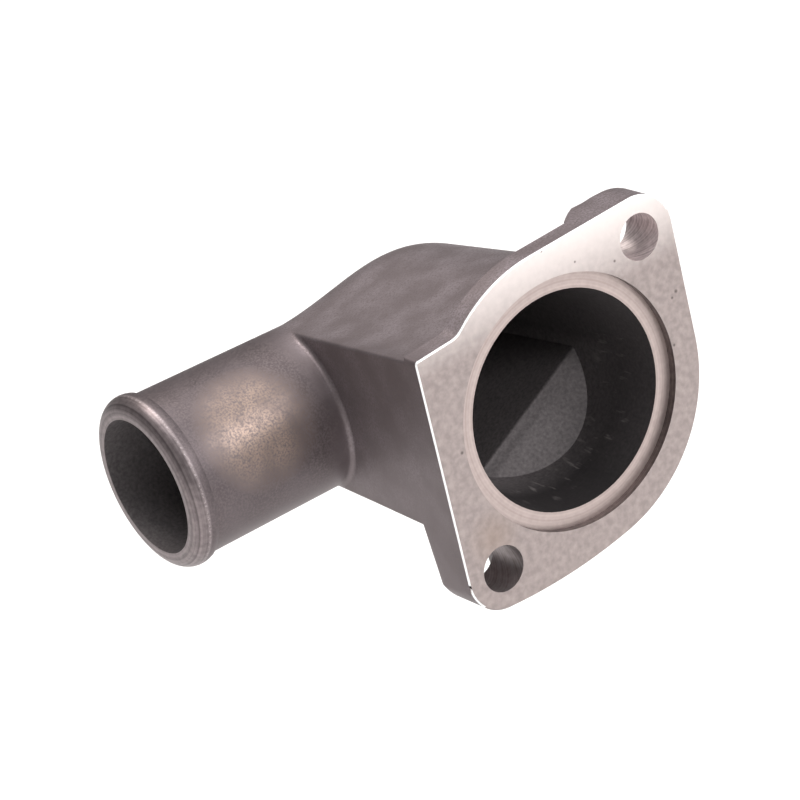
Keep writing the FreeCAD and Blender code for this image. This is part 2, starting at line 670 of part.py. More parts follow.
cored = casting.newObject("PartDesign::Boolean", "Cored")
cored.Type = "Cut"
cored.setObjects([core])
seat_circle = circle_sketch(casting, "XZ_Plane", "SeatCircle",
                            cell("recess_radius"), size("recess_radius"), [(0, 0, None, None)])
pocket(casting, "ThermostatSeat", seat_circle, cell("recess_depth"))
ear_x, ear_z = ear_centre()
ear_x_rule = f"{cell('flange_radius')} - {cell('ear_radius')}"
ear_z_rule = f"sqrt(({cell('bolt_spacing')} / 2) ^ 2 - ({ear_x_rule}) ^ 2)"
bolt_circles = circle_sketch(casting, "XZ_Plane", "BoltCircles",
                             cell("bolt_hole_diameter") + " / 2", size("bolt_hole_diameter") / 2,
                             [(ear_x, ear_z, ear_x_rule, ear_z_rule),
                              (-ear_x, -ear_z, ear_x_rule, ear_z_rule)])
pocket(casting, "BoltHoles", bolt_circles, ear_stock)
doc.recompute()

check(doc.Objects)
if casting.Shape.isNull() or not casting.Shape.isValid() or len(casting.Shape.Solids) != 1:
    raise RuntimeError("the casting is not one valid solid")
print("casting volume in mm3:", round(casting.Shape.Volume, 1))
os.makedirs("parts", exist_ok=True)
casting.Shape.exportStep("parts/housing.step")
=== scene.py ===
# %% [markdown]
# # A cast thermostat housing
# The part is one aluminium casting. It comes out of its mould and from the shot blaster with a
# fine, dull grain all over. Then a cutter faces the side that meets the engine, a boring tool
# turns the step for the thermostat, and a drill opens the two bolt holes. So one piece of metal
# wears several finishes. The lesson is to find the surfaces that each tool made and to give
# each its own finish.

# %% Load the part
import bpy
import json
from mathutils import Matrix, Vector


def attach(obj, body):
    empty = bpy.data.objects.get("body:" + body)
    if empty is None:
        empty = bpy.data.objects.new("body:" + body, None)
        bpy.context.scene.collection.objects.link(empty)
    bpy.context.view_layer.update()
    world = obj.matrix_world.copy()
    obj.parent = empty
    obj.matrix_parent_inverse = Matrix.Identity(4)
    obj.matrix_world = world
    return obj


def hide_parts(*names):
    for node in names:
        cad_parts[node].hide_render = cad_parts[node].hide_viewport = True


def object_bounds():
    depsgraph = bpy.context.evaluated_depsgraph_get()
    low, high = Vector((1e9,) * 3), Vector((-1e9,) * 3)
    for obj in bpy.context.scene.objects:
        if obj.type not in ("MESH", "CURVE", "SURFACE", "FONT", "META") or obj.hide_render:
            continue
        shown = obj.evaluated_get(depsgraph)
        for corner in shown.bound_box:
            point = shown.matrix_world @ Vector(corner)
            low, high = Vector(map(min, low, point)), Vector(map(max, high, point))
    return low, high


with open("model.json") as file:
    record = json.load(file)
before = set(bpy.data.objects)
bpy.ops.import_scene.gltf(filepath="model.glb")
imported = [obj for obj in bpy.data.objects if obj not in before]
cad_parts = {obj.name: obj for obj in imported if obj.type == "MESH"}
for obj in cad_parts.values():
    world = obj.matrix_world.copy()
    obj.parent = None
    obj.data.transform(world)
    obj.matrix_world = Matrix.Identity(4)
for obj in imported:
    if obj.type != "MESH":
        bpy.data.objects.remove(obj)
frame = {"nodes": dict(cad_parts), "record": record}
cad_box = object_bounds()
MM = 0.001
print("size of the part in mm:", [round(side / MM, 1) for side in cad_box[1] - cad_box[0]])

# %% Libraries
import json
import math
import bmesh
import bpy
from mathutils import Matrix, Vector

# %% [markdown]
# ## Camera
# The photograph was taken from a little above and to the left, with a long lens, and the
# camera was turned about its own axis. Three turns set the same view: round the upright
# axis, up from the horizon, and the roll. A constraint that tracks the part would be shorter,
# but it can't give the roll.

# %% Camera
AZIMUTH = math.radians(-30.186)
ELEVATION = math.radians(23.106)
ROLL = math.radians(-13.886)
CAMERA_PLACE = Vector((-379.74, -584.18, 306.78)) * MM
FOCAL_LENGTH = 164.59
SENSOR_WIDTH = 36.0
NEAREST = 0.05
FARTHEST = 20.0

camera_data = bpy.data.cameras.new("camera")
camera_data.lens = FOCAL_LENGTH
camera_data.sensor_width = SENSOR_WIDTH
camera_data.clip_start = NEAREST
camera_data.clip_end = FARTHEST
camera = bpy.data.objects.new("camera", camera_data)
bpy.context.scene.collection.objects.link(camera)
level_turn = Matrix.Rotation(AZIMUTH, 4, "Z")
tilt = Matrix.Rotation(math.radians(90) - ELEVATION, 4, "X")
roll = Matrix.Rotation(ROLL, 4, "Z")
camera.matrix_world = Matrix.Translation(CAMERA_PLACE) @ level_turn @ tilt @ roll
bpy.context.scene.camera = camera
print("camera looks along", [round(x, 3) for x in -camera.matrix_world.col[2].xyz])

# %% [markdown]
# ## Floor
# A plain white floor fills the picture, as in a shot for a parts catalogue. A curved backdrop
# would only look right from the front, so the floor is a wide disc. It lies well below the
# part, which keeps the part's shadow out of the picture, as in the photograph.

# %% Floor
FLOOR_DROP = 95 * MM
FLOOR_RADIUS = 3.0
FLOOR_SIDES = 96


def srgb(code):
    """A colour written as sRGB hex, turned to the linear values that shaders use."""
    parts = [int(code[place:place + 2], 16) / 255 for place in (1, 3, 5)]
    return tuple(part / 12.92 if part <= 0.04045 else ((part + 0.055) / 1.055) ** 2.4
                 for part in parts) + (1.0,)


floor_mesh = bpy.data.meshes.new("floor")
shape = bmesh.new()
bmesh.ops.create_circle(shape, cap_ends=True, segments=FLOOR_SIDES, radius=FLOOR_RADIUS)
bmesh.ops.translate(shape, verts=shape.verts, vec=(0, 0, cad_box[0].z - FLOOR_DROP))
shape.to_mesh(floor_mesh)
shape.free()
floor = bpy.data.objects.new("floor", floor_mesh)
bpy.context.scene.collection.objects.link(floor)

paint = bpy.data.materials.new("matt_white_floor")
paint.use_nodes = True
floor_shader = paint.node_tree.nodes["Principled BSDF"]
floor_shader.inputs["Base Color"].default_value = srgb("#fbfbfb")
floor_shader.inputs["Roughness"].default_value = 0.95
floor_shader.inputs["Specular IOR Level"].default_value = 0.0
floor_mesh.materials.append(paint)
print("floor at z =", round(floor_mesh.vertices[0].co.z / MM, 1), "mm")

# %% [markdown]
# ## Light
# A large soft panel in front, on the right, lights the machined face. One near the camera
# reaches into the bore, and one above makes the spigot shine. The widest one hangs over
# everything and whitens the floor. None faces the end wall, which stays darker. Colours are
# shown as they are, without the curve of a film, so that a floor lit to white is white.

# %% Light
ROOM_STRENGTH = 0.2

bpy.context.scene.view_settings.view_transform = "Standard"
world = bpy.data.worlds.new("soft_room")
world.use_nodes = True
world.node_tree.nodes["Background"].inputs["Color"].default_value = srgb("#ffffff")
world.node_tree.nodes["Background"].inputs["Strength"].default_value = ROOM_STRENGTH
bpy.context.scene.world = world


def panel(name, place, side, watts, colour="#ffffff"):
    """A soft square light at one place in metres, aimed at the part."""
    data = bpy.data.lights.new(name, "AREA")
    data.shape = "SQUARE"
    data.size = side
    data.energy = watts
    data.color = srgb(colour)[:3]
    lamp = bpy.data.objects.new(name, data)
    bpy.context.scene.collection.objects.link(lamp)
    lamp.location = place
    lamp.rotation_mode = "QUATERNION"
    lamp.rotation_quaternion = (-Vector(place)).to_track_quat("-Z", "Y")
    print("panel", name, "with", watts, "W at", place)


panel("key", (0.9, -1.1, 0.8), side=0.9, watts=12.5)
panel("bore", (0.05, -1.3, 0.75), side=0.35, watts=7)
panel("top", (-0.1, 0.5, 1.3), side=0.6, watts=8, colour="#fff8f0")
panel("floor_wash", (0.0, 0.0, 2.2), side=2.2, watts=42)

# %% [markdown]
# ## The surfaces that each tool made
# Painting the finishes by hand would have to be done again after each change of the part. So
# each face is sorted by where it lies and where it looks: on the mating face, in the
# thermostat's step, in a bolt hole, inside the core, at the spigot's lip, or on the cast
# outside. The part's own mounts give most of the measures.

# %% Measures that sort the faces
mounts = {mount["name"]: mount for mount in frame["record"]["mounts"]}
OFF_CIRCLE = 0.15 * MM
SEAT_RADIUS = mounts["thermostat_seat"]["dims"]["r_mm"] * MM
SEAT_DEPTH = mounts["thermostat_seat"]["dims"]["length_mm"] * MM
SPIGOT_DEPTH = mounts["outlet_bore"]["pos_m"][1]
OUTLET_RADIUS = mounts["outlet_bore"]["dims"]["r_mm"] * MM + OFF_CIRCLE
BOLT_RADIUS = mounts["flange_bolts"]["dims"]["hole_r_mm"] * MM + OFF_CIRCLE
FACE_DEPTH = 0.02 * MM
BORE_RADIUS = 24.0 * MM
CORE_RADIUS = 24.3 * MM
DOME_DEPTH = 49.5 * MM
MOUTH_X = cad_box[0].x
LIP_WIDTH = 3.4 * MM
LIP_RADIUS = 19.7 * MM
EAR_RADIUS = 9.0 * MM
EAR_X = cad_box[1].x - EAR_RADIUS
EAR_Z = math.sqrt((mounts["flange_bolts"]["dims"]["pcd_mm"] / 2 * MM) ** 2 - EAR_X ** 2)
print("bolt hole centre in mm:", round(EAR_X / MM, 2), round(EAR_Z / MM, 2))

# %% Sort one face
FACES_FRONT = 0.99
HALF_WAY = 0.5


def from_bolt_axis(point):
    """How far a point is from the axis of the bolt hole on its own side."""
    side = math.copysign(1, point.x)
    return math.hypot(point.x - side * EAR_X, point.z - side * EAR_Z)


def kind_of(middle, normal):
    """Which tool or mould wall made the face with this middle and this normal."""
    from_bore = math.hypot(middle.x, middle.z)
    from_spigot = math.hypot(middle.y - SPIGOT_DEPTH, middle.z)
    inner_point = Vector((0, min(middle.y, DOME_DEPTH), 0))
    if abs(middle.y) < FACE_DEPTH and normal.y < -FACES_FRONT:
        return "milled"
    if middle.y < SEAT_DEPTH + FACE_DEPTH and BORE_RADIUS < from_bore < SEAT_RADIUS + FACE_DEPTH:
        return "turned" if normal.y < -HALF_WAY else "wall"
    if from_bolt_axis(middle) < BOLT_RADIUS and abs(normal.y) < HALF_WAY:
        return "drilled"
    if from_spigot < OUTLET_RADIUS and middle.x < -CORE_RADIUS / 2:
        return "core"
    if from_bore < CORE_RADIUS and normal.dot(middle - inner_point) < 0:
        return "core"
    if middle.x < MOUTH_X + LIP_WIDTH and from_spigot < LIP_RADIUS:
        return "lip"
    return "cast"


# %% [markdown]
# ## A copy that can be shaped
# The CAD part is a net of loose triangles, and it is left alone. A copy is merged, so that
# neighbours share their points and the net has real edges.

# %% Copy the part
MERGE = 0.001 * MM
SLIVER = 0.004 * MM

skin_mesh = bpy.data.meshes.new("housing_skin")
shape = bmesh.new()
shape.from_mesh(frame["nodes"]["housing"].data)
bmesh.ops.remove_doubles(shape, verts=shape.verts, dist=MERGE)
bmesh.ops.dissolve_degenerate(shape, edges=shape.edges, dist=SLIVER)
print("merged copy:", len(shape.verts), "points and", len(shape.faces), "faces")

# %% [markdown]
# ## Backs of the ears
# The upper ear's shoulder is rounded over, the lower ear's back stands a little higher than
# the upper one's, and both bolt holes end in a flat seat. The shoulder has too few points to
# bend, so it is cut across first. Sculpting by hand couldn't be repeated, so one function says
# where each point belongs.

# %% Cut the upper ear's shoulder
EAR_INNER = 10 * MM
EAR_FOOT = 4.99 * MM
SHOULDER_CUTS = [cut * MM for cut in (13.2, 14.8, 16.4, 17.6, 19.6, 21.0, 22.6)]


def on_shoulder(point):
    """True on the back of the upper ear, from its inner end outwards."""
    return point.z > EAR_INNER and point.x > EAR_INNER and point.y > EAR_FOOT


for cut_x in SHOULDER_CUTS:
    ear_faces = [face for face in shape.faces if all(on_shoulder(vert.co) for vert in face.verts)]
    ear_parts = {part for face in ear_faces for part in (face, *face.edges, *face.verts)}
    bmesh.ops.bisect_plane(shape, geom=list(ear_parts), dist=SLIVER,
                           plane_co=(cut_x, 0, 0), plane_no=(1, 0, 0))
print("cuts across the shoulder:", len(SHOULDER_CUTS))

# %% Shape the ears' backs
BOLT_SEAT = 10.9 * MM
EAR_TOP = 13 * MM
BODY_SIDE = 29 * MM
SHOULDER_MIDDLE = 18.4 * MM
SHOULDER_REACH = 5.5 * MM
SHOULDER_DROP = 0.17
LOWER_EAR_X = -8 * MM
LOWER_EAR_Z = -12 * MM
LOWER_LIFT = 2.6 * MM
LIFT_START = 4 * MM
LIFT_FADE = 20 * MM
LIFT_END = 34 * MM


def ear_form(point):
    """Where a point of the ears' backs belongs. A point elsewhere stays."""
    x, y, z = point
    if from_bolt_axis(point) < BOLT_RADIUS and y > EAR_FOOT:
        return Vector((x, BOLT_SEAT, z))
    if on_shoulder(point) and y < EAR_TOP and math.hypot(x, z) > BODY_SIDE:
        near_middle = max(0.0, 1 - abs(x - SHOULDER_MIDDLE) / SHOULDER_REACH)
        smooth = near_middle * near_middle * (3 - 2 * near_middle)
        y -= SHOULDER_DROP * smooth * (y - EAR_FOOT)
    if z < LOWER_EAR_Z and x < LOWER_EAR_X and y > EAR_FOOT:
        rise = min(1.0, (y - EAR_FOOT) / LIFT_START)
        fade = max(0.0, min(1.0, (LIFT_END - y) / LIFT_FADE))
        inwards = min(1.0, (LOWER_EAR_Z - z) / LIFT_START)
        y += LOWER_LIFT * rise * fade * inwards
    return Vector((x, y, z))


moved = 0
for vert in shape.verts:
    place = ear_form(vert.co)
    moved += (place - vert.co).length > MERGE
    vert.co = place
print("points moved on the ears' backs:", moved)

# %% [markdown]
# ## Broken edge and burr
# The cutter leaves a small broken edge round the milled face, and a bright burr where it ran
# off the casting: along the upper side and down the end wall. The edge is a real bevel,
# because a bevel drawn only by the shader would vanish from the side. The faces of the bevel
# that look up or towards the spigot become the burr, which is painted white as a highlight.

# %% Break the edge
SQUARE = math.radians(60)
RIM_START = SEAT_RADIUS * 1.03
EDGE_WIDTH = 0.33 * MM


def is_outer_rim(edge):
    """True on the milled face's outer edge, and not at the seat or at a bolt hole."""
    if not all(abs(vert.co.y) < FACE_DEPTH for vert in edge.verts):
        return False
    middle = (edge.verts[0].co + edge.verts[1].co) / 2
    kinds = [kind_of(face.calc_center_median(), face.normal) for face in edge.link_faces]
    return (edge.is_manifold and edge.calc_face_angle(0) > SQUARE
            and math.hypot(middle.x, middle.z) > RIM_START and "drilled" not in kinds)


outer_rim = [edge for edge in shape.edges if is_outer_rim(edge)]
bevel = bmesh.ops.bevel(shape, geom=outer_rim, offset=EDGE_WIDTH, offset_type="OFFSET", segments=1,
                        profile=0.5, affect="EDGES", material=-1, clamp_overlap=False)
bevelled = set(bevel["faces"])
shape.normal_update()
print("edges bevelled:", len(outer_rim))

# %% Sort all the faces
SKIN_KINDS = ["cast", "milled", "turned", "wall", "drilled", "core", "lip", "burr"]
LOOKS_UP = 0.25
PLANE = 0.9999
SHARP = math.radians(28)

counts = dict.fromkeys(SKIN_KINDS, 0)
for face in shape.faces:
    kind = kind_of(face.calc_center_median(), face.normal)
    if face in bevelled:
        # Bevel faces that look up or towards the spigot get the burr's painted white highlight.
        kind = "burr" if face.normal.z > LOOKS_UP or face.normal.x < -HALF_WAY else "milled"
    face.material_index = SKIN_KINDS.index(kind)
    face.smooth = abs(face.normal.y) < PLANE and face not in bevelled
    counts[kind] += 1
for edge in shape.edges:
    edge.smooth = edge.calc_face_angle(0) < SHARP
open_edges = sum(not edge.is_manifold for edge in shape.edges)
print("faces of each kind:", counts, "open edges:", open_edges)

# %% Put the skin in place of the CAD part
shape.to_mesh(skin_mesh)
shape.free()
skin = bpy.data.objects.new("housing_skin", skin_mesh)
bpy.context.scene.collection.objects.link(skin)
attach(skin, "root")
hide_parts("housing")

# %% [markdown]
# ## Materials
# Every pattern is laid out in millimetres on the part itself. Each finish is aluminium with its
# own roughness and grain. A shot-blasted skin scatters light, so it is rough and only partly a
# mirror. A milled face keeps the faint arcs of its cutter. Image textures would need seams, so
# noise and distances make all of it.

# %% Helpers for the materials
COLOUR_MIX = {"out": 2, "data_type": "RGBA"}


def add(tree, kind, inputs=None, out=0, **settings):
    """Add one node with its settings and links, and return one of its outputs."""
    node = tree.nodes.new("ShaderNode" + kind)
    for name, value in settings.items():
        setattr(node, name, value)
    for name, value in (inputs or {}).items():
        if isinstance(value, bpy.types.NodeSocket):
            tree.links.new(value, node.inputs[name])
        else:
            node.inputs[name].default_value = value
    return node.outputs[out]


def metal(name, colour, roughness, metallic):
    """A plain metal, ready for its patterns, and the position on the part in mm."""
    material = bpy.data.materials.new(name)
    material.use_nodes = True
    tree = material.node_tree
    shader = tree.nodes["Principled BSDF"]
    shader.inputs["Base Color"].default_value = srgb(colour)
    shader.inputs["Roughness"].default_value = roughness
    shader.inputs["Metallic"].default_value = metallic
    in_metres = add(tree, "TexCoord", out="Object")
    place = add(tree, "VectorMath", {0: in_metres, 1: (1 / MM,) * 3}, operation="MULTIPLY")
    return material, tree, shader, place


def spot(tree, place, centre, radius, soft):
    """1 inside a round spot and 0 outside it, with a soft edge of the given width."""
    away = add(tree, "VectorMath", {0: place, 1: centre}, out="Value", operation="DISTANCE")
    return add(tree, "MapRange", {"Value": away, "From Min": radius, "From Max": radius + soft,
                                  "To Min": 1.0, "To Max": 0.0})


# %% [markdown]
# ### Shot-blasted cast skin
# Die-cast aluminium, blasted with steel shot. To the eye that is a dull grey-brown with a grain
# of about half a millimetre, lighter and darker clouds of a few millimetres, and small dents
# that catch the light.

# %% Grain and clouds
GRAIN = 0.45
CLOUD = 7.0
DENT_DEPTH = 0.02

cast, tree, shader, place = metal("shot_blasted_die_cast_aluminium", "#8d8486", 0.5, 0.75)
grain = add(tree, "TexNoise", {"Vector": place, "Scale": 1 / GRAIN, "Detail": 3.0})
cloud = add(tree, "TexNoise", {"Vector": place, "Scale": 1 / CLOUD, "Detail": 4.0})
light_cloud = add(tree, "MapRange", {"Value": cloud, "From Min": 0.38, "From Max": 0.64})
tint = add(tree, "Mix", {0: light_cloud, 6: srgb("#857a7c"), 7: srgb("#9c9195")}, **COLOUR_MIX)
dents = add(tree, "Bump", {"Height": grain, "Distance": DENT_DEPTH * MM, "Strength": 1.0})
tree.links.new(dents, shader.inputs["Normal"])

# %% [markdown]
# The skin isn't equally bright all over, and most of that is painted light. The bead is painted
# lighter as a highlight, and a warm patch on the spigot is a painted highlight, a little glossier
# too. The rest of the spigot is painted darker as shade, most of all in the crease at its root,
# and so are the low parts of the end wall and the lower ear. Each of these is a stretch of the
# part with soft ends.

# %% Painted highlights and shade
END_WALL_X = -34.0
BEAD_X = -70.0
SPIGOT_SHADE = 0.82
ROOT_SHADE = 0.55
SHEEN_MIDDLE = (-52.0, 39.0, 9.0)
SHEEN_RADIUS = 4.0
SHEEN_SOFT = 11.0
SHEEN_GLOSS = 0.12

x_place = add(tree, "SeparateXYZ", {"Vector": place}, out="X")
z_place = add(tree, "SeparateXYZ", {"Vector": place}, out="Z")
off_spigot = add(tree, "MapRange", {"Value": x_place, "From Min": END_WALL_X - 5.0,
                                    "From Max": END_WALL_X + 5.0})
beyond_wall = add(tree, "Math", {0: 1.0, 1: off_spigot}, operation="SUBTRACT")
before_bead = add(tree, "MapRange", {"Value": x_place, "From Min": BEAD_X - 1.0, "From Max": BEAD_X})
on_spigot = add(tree, "Math", {0: beyond_wall, 1: before_bead}, operation="MULTIPLY")
# Painted shade: the spigot is painted darker than the body.
darker = add(tree, "Math", {0: on_spigot, 1: SPIGOT_SHADE}, operation="MULTIPLY")
tint = add(tree, "Mix", {0: darker, 6: tint, 7: srgb("#554c4e")}, **COLOUR_MIX)

# Painted highlight: the bead is painted lighter.
bead_highlight = add(tree, "MapRange", {"Value": x_place, "From Min": BEAD_X - 1.0, "From Max": BEAD_X,
                                 "To Min": 0.8, "To Max": 0.0})
tint = add(tree, "Mix", {0: bead_highlight, 6: tint, 7: srgb("#c6bbbb")}, **COLOUR_MIX)

# Painted highlight: a warm patch on the spigot, where the skin is also a little glossier.
sheen_cloud = add(tree, "MapRange", {"Value": cloud, "From Min": 0.3, "From Max": 0.65,
                                "To Min": 0.4, "To Max": 0.9})
patch = spot(tree, place, SHEEN_MIDDLE, SHEEN_RADIUS, SHEEN_SOFT)
painted_sheen = add(tree, "Math", {0: patch, 1: sheen_cloud}, operation="MULTIPLY")
tint = add(tree, "Mix", {0: painted_sheen, 6: tint, 7: srgb("#c2a998")}, **COLOUR_MIX)

# Painted shade: darker towards the bottom of the end wall and the lower ear.
low = add(tree, "MapRange", {"Value": z_place, "From Min": -4.0, "From Max": -20.0,
                             "To Min": 0.0, "To Max": 0.8})
low_shade_on_body = add(tree, "Math", {0: low, 1: off_spigot}, operation="MULTIPLY")
tint = add(tree, "Mix", {0: low_shade_on_body, 6: tint, 7: srgb("#544b4c")}, **COLOUR_MIX)

# Painted shade in the crease where the spigot meets the end wall.
near_root = add(tree, "MapRange", {"Value": x_place, "From Min": END_WALL_X - 14.0,
                                   "From Max": END_WALL_X - 2.0})
root_crease_shade = add(tree, "Math", {0: near_root, 1: on_spigot}, operation="MULTIPLY")
root = add(tree, "Math", {0: root_crease_shade, 1: ROOT_SHADE}, operation="MULTIPLY")
tint = add(tree, "Mix", {0: root, 6: tint, 7: srgb("#5c5253")}, **COLOUR_MIX)

# %% Link the skin's colour and gloss
bright_grain = add(tree, "MapRange", {"Value": grain, "From Min": 0.3, "From Max": 0.6})
tint = add(tree, "Mix", {0: bright_grain, 6: srgb("#766c6d"), 7: tint}, **COLOUR_MIX)
tree.links.new(tint, shader.inputs["Base Color"])
rough_grain = add(tree, "MapRange", {"Value": grain, "From Min": 0.3, "From Max": 0.7,
                                     "To Min": 0.6, "To Max": 0.44})
gloss = add(tree, "Math", {0: painted_sheen, 1: SHEEN_GLOSS}, operation="MULTIPLY")
rough = add(tree, "Math", {0: rough_grain, 1: gloss}, operation="SUBTRACT")
tree.links.new(rough, shader.inputs["Roughness"])
print("nodes in the cast skin:", len(tree.nodes))

# %% [markdown]
# ### Milled face
# Aluminium cut by a face mill. Its arcs have the cutter's own radius and are very shallow, so
# the face is bright, but no mirror. Handling has left a stain and a few pits. The arcs are a
# wave over the distance from a point far outside the part, where the cutter's axis stood.

# %% Milled face
MILL_CENTRE = (150.0, 0.0, -60.0)
FEED = 1.1
FEED_DEPTH = 0.3
WANDER_SIZE = 9.0
WANDER_BY = 1.2
MOTTLE = 1.6
MARK_DEPTH = 0.003

milled, tree, shader, place = metal("face_milled_aluminium", "#cfc0bc", 0.42, 0.85)
from_mill = add(tree, "VectorMath", {0: place, 1: MILL_CENTRE}, out="Value", operation="DISTANCE")
wander = add(tree, "TexNoise", {"Vector": place, "Scale": 1 / WANDER_SIZE, "Detail": 2.0})
path = add(tree, "Math", {0: wander, 1: WANDER_BY, 2: from_mill}, operation="MULTIPLY_ADD")
turns = add(tree, "Math", {0: path, 1: 2 * math.pi / FEED}, operation="MULTIPLY")
arcs = add(tree, "Math", {0: turns}, operation="SINE")
mottle = add(tree, "TexNoise", {"Vector": place, "Scale": 1 / MOTTLE, "Detail": 4.0})
relief = add(tree, "Math", {0: arcs, 1: FEED_DEPTH, 2: mottle}, operation="MULTIPLY_ADD")
marks = add(tree, "Bump", {"Height": relief, "Distance": MARK_DEPTH * MM, "Strength": 1.0})
tree.links.new(marks, shader.inputs["Normal"])
rough = add(tree, "MapRange", {"Value": mottle, "From Min": 0.35, "From Max": 0.7,
                               "To Min": 0.48, "To Max": 0.38})
tree.links.new(rough, shader.inputs["Roughness"])

# %% Colour of the milled face
STAIN_MIDDLE = (-26.0, 0.0, -19.5)
STAIN_SHARE = 0.5
PITS = [(19.3, 17.6, 0.35), (31.7, 12.1, 0.4), (30.4, 11.1, 0.3), (28.4, 0.9, 0.3),
        (0.9, 34.2, 0.25), (-28.7, 1.3, 0.35), (8.4, 28.7, 0.25), (18.1, 24.8, 0.3)]
PIT_FLOOR = 0.4
PIT_SHARE = 0.75

light_mottle = add(tree, "MapRange", {"Value": mottle, "From Min": 0.36, "From Max": 0.68})
tint = add(tree, "Mix", {0: light_mottle, 6: srgb("#958a88"), 7: srgb("#a69a97")}, **COLOUR_MIX)
z_place = add(tree, "SeparateXYZ", {"Vector": place}, out="Z")
# Painted highlight: the milled face is painted lighter towards the top.
top_highlight = add(tree, "MapRange", {"Value": z_place, "From Min": 20.0, "From Max": 35.0})
tint = add(tree, "Mix", {0: top_highlight, 6: tint, 7: srgb("#e8dfdc")}, **COLOUR_MIX)
stain = spot(tree, place, STAIN_MIDDLE, 1.0, 6.0)
stain = add(tree, "Math", {0: stain, 1: STAIN_SHARE}, operation="MULTIPLY")
tint = add(tree, "Mix", {0: stain, 6: tint, 7: srgb("#97857a")}, **COLOUR_MIX)
for x, z, radius in PITS:
    pit = spot(tree, place, (x, 0.0, z), radius * PIT_FLOOR, radius)
    pit = add(tree, "Math", {0: pit, 1: PIT_SHARE}, operation="MULTIPLY")
    tint = add(tree, "Mix", {0: pit, 6: tint, 7: srgb("#4a4140")}, **COLOUR_MIX)
tree.links.new(tint, shader.inputs["Base Color"])
print("pits on the milled face:", len(PITS))

# %% [markdown]
# ### Burr
# The curl of fresh metal at the edge, torn and not yet dulled. Its white colour is a painted
# highlight: it scatters almost all of the light, so it reads as a white line.

# %% Burr
burr = metal("aluminium_burr_with_painted_highlight", "#ffffff", 0.35, 0.3)[0]

# %% [markdown]
# ### Turned step, drilled holes and lip
# The boring tool leaves fine rings round the bore. The drill drags pale lines down its hole.
# The spigot's mouth was faced too, and its rings show in the lip. All are noise over the
# distance from an axis and along it, so one function makes them, each with its own pitch.

# %% Turned, drilled and lip
BORE_AXIS = (0, 1, 0)
SPIGOT_AXIS = (1, 0, 0)
BORE_MIDDLE = (0, 0, 0)
SPIGOT_MIDDLE = (0, SPIGOT_DEPTH / MM, 0)
RING_SHARE = 0.6
RING_DEPTH = 0.006
RING_MOTTLE = 1.2


def ringed(name, colours, roughness, pitch, middle=BORE_MIDDLE, axis=BORE_AXIS, low_shade_colour=None):
    """Metal with rings round an axis, at a pitch in mm, in a dark and a light colour."""
    dark, light = colours
    material, tree, shader, place = metal(name, light, roughness, 0.8)
    from_axis = add(tree, "VectorMath", {0: place, 1: middle}, operation="SUBTRACT")
    across = add(tree, "VectorMath", {0: from_axis, 1: axis}, operation="CROSS_PRODUCT")
    radius = add(tree, "VectorMath", {0: across}, out="Value", operation="LENGTH")
    along = add(tree, "VectorMath", {0: from_axis, 1: axis}, out="Value", operation="DOT_PRODUCT")
    travel = add(tree, "Math", {0: radius, 1: along}, operation="ADD")
    rings = add(tree, "TexNoise", {"W": travel, "Scale": 1 / pitch, "Detail": 2.0},
                noise_dimensions="1D")
    mottle = add(tree, "TexNoise", {"Vector": place, "Scale": 1 / RING_MOTTLE, "Detail": 3.0})
    rest = add(tree, "Math", {0: mottle, 1: 1 - RING_SHARE}, operation="MULTIPLY")
    share = add(tree, "Math", {0: rings, 1: RING_SHARE, 2: rest}, operation="MULTIPLY_ADD")
    light_ring = add(tree, "MapRange", {"Value": share, "From Min": 0.36, "From Max": 0.64})
    tint = add(tree, "Mix", {0: light_ring, 6: srgb(dark), 7: srgb(light)}, **COLOUR_MIX)
    # Painted shade: darker towards the bottom, used on the lower bolt hole.
    if low_shade_colour:
        z_place = add(tree, "SeparateXYZ", {"Vector": place}, out="Z")
        low = add(tree, "MapRange", {"Value": z_place, "From Min": 10.0, "From Max": -10.0,
                                     "To Min": 0.0, "To Max": 0.7})
        tint = add(tree, "Mix", {0: low, 6: tint, 7: srgb(low_shade_colour)}, **COLOUR_MIX)
    tree.links.new(tint, shader.inputs["Base Color"])
    marks = add(tree, "Bump", {"Height": share, "Distance": RING_DEPTH * MM, "Strength": 1.0})
    tree.links.new(marks, shader.inputs["Normal"])
    print(name, "has rings", pitch, "mm apart")
    return material


turned = ringed("turned_aluminium_step", ("#a89995", "#b9aaa6"), 0.4, 0.5)
# The step's wall is the same turned metal, painted darker as shade.
wall = ringed("turned_aluminium_step_wall_with_painted_shade", ("#4c4443", "#7a6f6e"), 0.45, 0.5)
drilled = ringed("drilled_aluminium_with_drag_marks", ("#c9bcbc", "#fbf0f0"), 0.45, 0.7,
                 low_shade_colour="#4b4242")
lip = ringed("faced_aluminium_lip", ("#675e5f", "#8f8485"), 0.42, 0.8,
             middle=SPIGOT_MIDDLE, axis=SPIGOT_AXIS)

# %% [markdown]
# ### Core walls
# The inside was formed by steel cores and keeps their black release coat, which hides most of
# the metal. The ramp deep in the bore is painted lighter as painted light, and so is the right
# side of the bore, which lies in shade. The outlet is lighter too. Where the bore's core was
# pulled out it dragged pale scratches along the wall. They are noise stretched along the bore.

# %% Release coat
COAT_GRAIN = 0.7
RAMP_LIGHT_START = 13.0
RAMP_LIGHT_FULL = 24.0
RAMP_SIDE = (0.5, 0.0, -0.866)
RAMP_REACH = 13.0
OUTLET_X = -26.0

core, tree, shader, place = metal("core_cast_aluminium_with_release_coat", "#3a3738", 0.6, 0.35)
grain = add(tree, "TexNoise", {"Vector": place, "Scale": 1 / COAT_GRAIN, "Detail": 3.0})
x_place = add(tree, "SeparateXYZ", {"Vector": place}, out="X")
depth = add(tree, "SeparateXYZ", {"Vector": place}, out="Y")
towards_ramp = add(tree, "VectorMath", {0: place, 1: RAMP_SIDE}, out="Value", operation="DOT_PRODUCT")
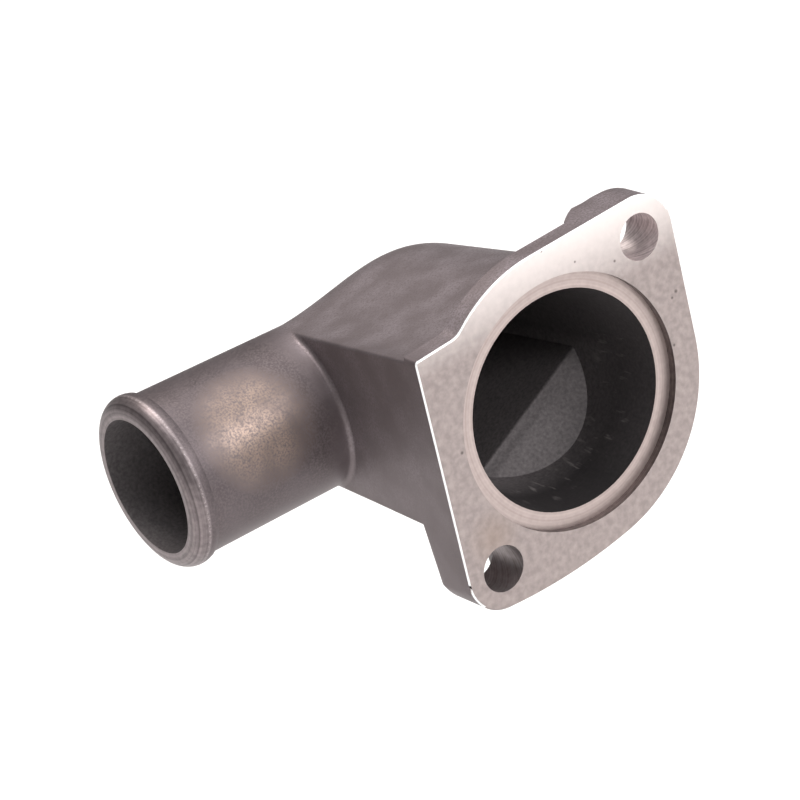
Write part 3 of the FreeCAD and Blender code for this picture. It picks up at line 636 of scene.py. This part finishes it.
# Painted light: the ramp deep in the bore is painted lighter.
deep = add(tree, "MapRange", {"Value": depth, "From Min": RAMP_LIGHT_START, "From Max": RAMP_LIGHT_FULL})
on_ramp = add(tree, "MapRange", {"Value": towards_ramp, "From Min": RAMP_REACH - 2.0,
                                 "From Max": RAMP_REACH})
lit_ramp = add(tree, "Math", {0: deep, 1: on_ramp}, operation="MULTIPLY")
coat = add(tree, "Mix", {0: lit_ramp, 6: srgb("#393536"), 7: srgb("#817a7b")}, **COLOUR_MIX)
in_outlet = add(tree, "MapRange", {"Value": x_place, "From Min": OUTLET_X, "From Max": OUTLET_X - 8.0})
coat = add(tree, "Mix", {0: in_outlet, 6: coat, 7: srgb("#7a7475")}, **COLOUR_MIX)
# Painted light: the right side of the bore, which lies in shade, is painted lighter.
right_side_light = add(tree, "MapRange", {"Value": x_place, "From Min": 8.0, "From Max": 20.0,
                                  "To Min": 0.0, "To Max": 0.6})
coat = add(tree, "Mix", {0: right_side_light, 6: coat, 7: srgb("#645e5f")}, **COLOUR_MIX)
specks = add(tree, "MapRange", {"Value": grain, "From Min": 0.3, "From Max": 0.75,
                                "To Min": 0.45, "To Max": 0.0})
coat = add(tree, "Mix", {0: specks, 6: coat, 7: srgb("#1d1b1c")}, **COLOUR_MIX)
dents = add(tree, "Bump", {"Height": grain, "Distance": DENT_DEPTH * MM, "Strength": 1.0})
tree.links.new(dents, shader.inputs["Normal"])
print("nodes in the release coat:", len(tree.nodes))

# %% Drag scratches
SCRATCH_WIDTH = 1.3
ALONG_BORE = (1.0, 0.22, 1.0)
DRAG_MIDDLE = 15.0
DRAG_HALF = 8.0
DRAG_SIDE = (0.6, 0.0, -0.8)

streaked = add(tree, "VectorMath", {0: place, 1: ALONG_BORE}, operation="MULTIPLY")
streaks = add(tree, "TexNoise", {"Vector": streaked, "Scale": 1 / SCRATCH_WIDTH, "Detail": 4.0})
scratch = add(tree, "MapRange", {"Value": streaks, "From Min": 0.6, "From Max": 0.72})
from_middle = add(tree, "Math", {0: depth, 1: DRAG_MIDDLE}, operation="SUBTRACT")
off_middle = add(tree, "Math", {0: from_middle}, operation="ABSOLUTE")
band = add(tree, "MapRange", {"Value": off_middle, "From Min": DRAG_HALF - 4.0, "From Max": DRAG_HALF,
                              "To Min": 1.0, "To Max": 0.0})
drag_side = add(tree, "VectorMath", {0: place, 1: DRAG_SIDE}, out="Value", operation="DOT_PRODUCT")
low_right = add(tree, "MapRange", {"Value": drag_side, "From Min": 4.0, "From Max": 16.0})
scratch = add(tree, "Math", {0: scratch, 1: band}, operation="MULTIPLY")
scratch = add(tree, "Math", {0: scratch, 1: low_right}, operation="MULTIPLY")
coat = add(tree, "Mix", {0: scratch, 6: coat, 7: srgb("#7d7776")}, **COLOUR_MIX)
tree.links.new(coat, shader.inputs["Base Color"])

# %% Put them on
finishes = {"cast": cast, "milled": milled, "turned": turned, "wall": wall,
            "drilled": drilled, "core": core, "lip": lip, "burr": burr}
for kind in SKIN_KINDS:
    skin_mesh.materials.append(finishes[kind])
print("materials on the skin:", [material.name for material in skin_mesh.materials])
